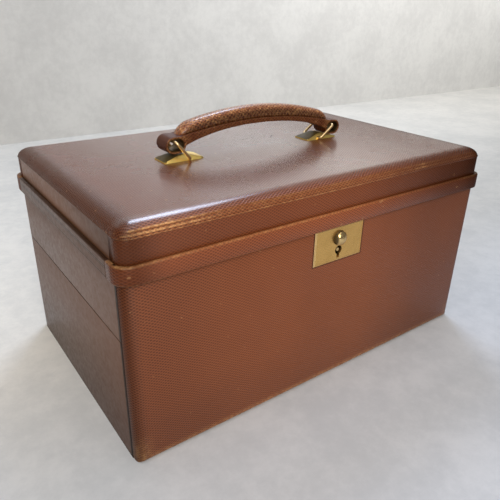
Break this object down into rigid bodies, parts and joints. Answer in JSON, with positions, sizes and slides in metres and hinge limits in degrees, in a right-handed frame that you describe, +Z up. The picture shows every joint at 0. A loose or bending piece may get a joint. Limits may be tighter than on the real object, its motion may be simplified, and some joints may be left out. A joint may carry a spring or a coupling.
{
  "type": "leather jewellery case",
  "caption": "Leather-covered jewellery case with a drop-down front, hinged tray, padded lid, push-button lock and carrying handle.",
  "frame": {"origin": "centre of the overall footprint, on the surface the case stands on", "axes": "+X along the length towards the case's left-hand end seen from behind, -Y out of the front, +Z up"},
  "size_m": [0.3262, 0.2081, 0.196],
  "materials": {
    "embossed_leather": "embossed grain, waxed, worn tan at the edges",
    "smooth_leather": "smooth, satin, faded",
    "handle_leather": "smooth with stitched edges",
    "leathercloth": "coated cloth, matt",
    "suede": "suede, matt",
    "wood": "bare, sanded",
    "brass": "satin, aged",
    "lock_brass": "polished, lightly scratched",
    "steel": "plain"
  },
  "bodies": {
    "case": {"base_cover": "leathercloth", "base_board": "wood", "end_boards": "wood", "back_board": "wood", "end_leather": "smooth_leather", "back_leather": "smooth_leather", "well_lining": "suede", "tray_hinge_lower": "brass", "tray_hinge_pins": "steel", "carcase_screws": "brass", "flap_hinge_rear": "brass", "flap_hinge_pins": "steel"},
    "drop_front": {"flap_board": "wood", "flap_leather": "embossed_leather", "flap_lining": "suede", "flap_hinge_front": "brass", "lock_plate": "lock_brass", "lock_case": "brass", "key_post": "steel", "catch_leaf": "brass", "leaf_rivets": "brass"},
    "button": {"push_button": "lock_brass"},
    "cam": {"lock_cam": "brass"},
    "tray": {"tray_floor": "wood", "tray_frame": "wood", "tray_end_leather": "smooth_leather", "tray_back_leather": "smooth_leather", "tray_front_skin": "suede", "tray_lining": "suede", "tray_long_divider": "suede", "tray_cross_dividers": "suede", "ring_rolls": "suede", "tray_hinge_upper": "brass", "lid_hinge_lower": "brass", "lid_hinge_pins": "steel", "tray_screws": "brass"},
    "lid": {"lid_frame": "wood", "lid_top_board": "wood", "lid_pad": "embossed_leather", "lid_front_leather": "embossed_leather", "lid_end_panels": "smooth_leather", "lid_back_leather": "embossed_leather", "band_front": "embossed_leather", "band_ends": "smooth_leather", "band_back": "embossed_leather", "lid_lining": "suede", "tongue": "brass", "tongue_screws": "steel", "lid_hinge_upper": "brass", "lid_screws": "brass", "handle_plates": "lock_brass", "plate_rivets": "steel"},
    "grip": {"grip_strap": "handle_leather", "loop_linings": "brass", "grip_roll": "embossed_leather"},
    "left_bail": {"left_bail": "lock_brass"},
    "right_bail": {"right_bail": "lock_brass"}
  },
  "joints": [
    {"name": "drop_front", "type": "hinge", "parent": "case", "child": "drop_front", "pos_m": [0, -0.0958, 0.0047], "axis": [1, 0, 0], "range_deg": [0, 88], "deforming": ["catch_leaf"]},
    {"name": "tray_lift", "type": "hinge", "parent": "case", "child": "tray", "pos_m": [0, 0.1012, 0.089], "axis": [-1, 0, 0], "range_deg": [0, 80], "deforming": ["catch_leaf"]},
    {"name": "lid_lift", "type": "hinge", "parent": "tray", "child": "lid", "pos_m": [0, 0.1012, 0.12905], "axis": [-1, 0, 0], "range_deg": [0, 100], "deforming": ["catch_leaf"]},
    {"name": "button_press", "type": "slide", "parent": "drop_front", "child": "button", "axis": [0, 1, 0], "range_m": [0, 0.0013], "stiffness_N_per_m": 600, "springref_m": -0.0008, "deforming": ["catch_leaf"]},
    {"name": "key_turn", "type": "hinge", "parent": "drop_front", "child": "cam", "pos_m": [0, -0.0934, 0.1105], "axis": [0, 1, 0], "range_deg": [0, 90]},
    {"name": "handle_lift", "type": "slide", "parent": "lid", "child": "grip", "axis": [0, 0, 1], "range_m": [0, 0.006]},
    {"name": "left_bail_swing", "type": "hinge", "parent": "lid", "child": "left_bail", "pos_m": [-0.0656, 0, 0.1642], "axis": [0, 1, 0], "range_deg": [0, 21]},
    {"name": "right_bail_swing", "type": "hinge", "parent": "lid", "child": "right_bail", "pos_m": [0.0598, 0, 0.1642], "axis": [0, 1, 0], "range_deg": [-21, 0]}
  ],
  "couplings": [
    {"joint": "left_bail_swing", "follows": "handle_lift", "rad_per_m": 34.907},
    {"joint": "right_bail_swing", "follows": "handle_lift", "rad_per_m": -34.907}
  ]
}
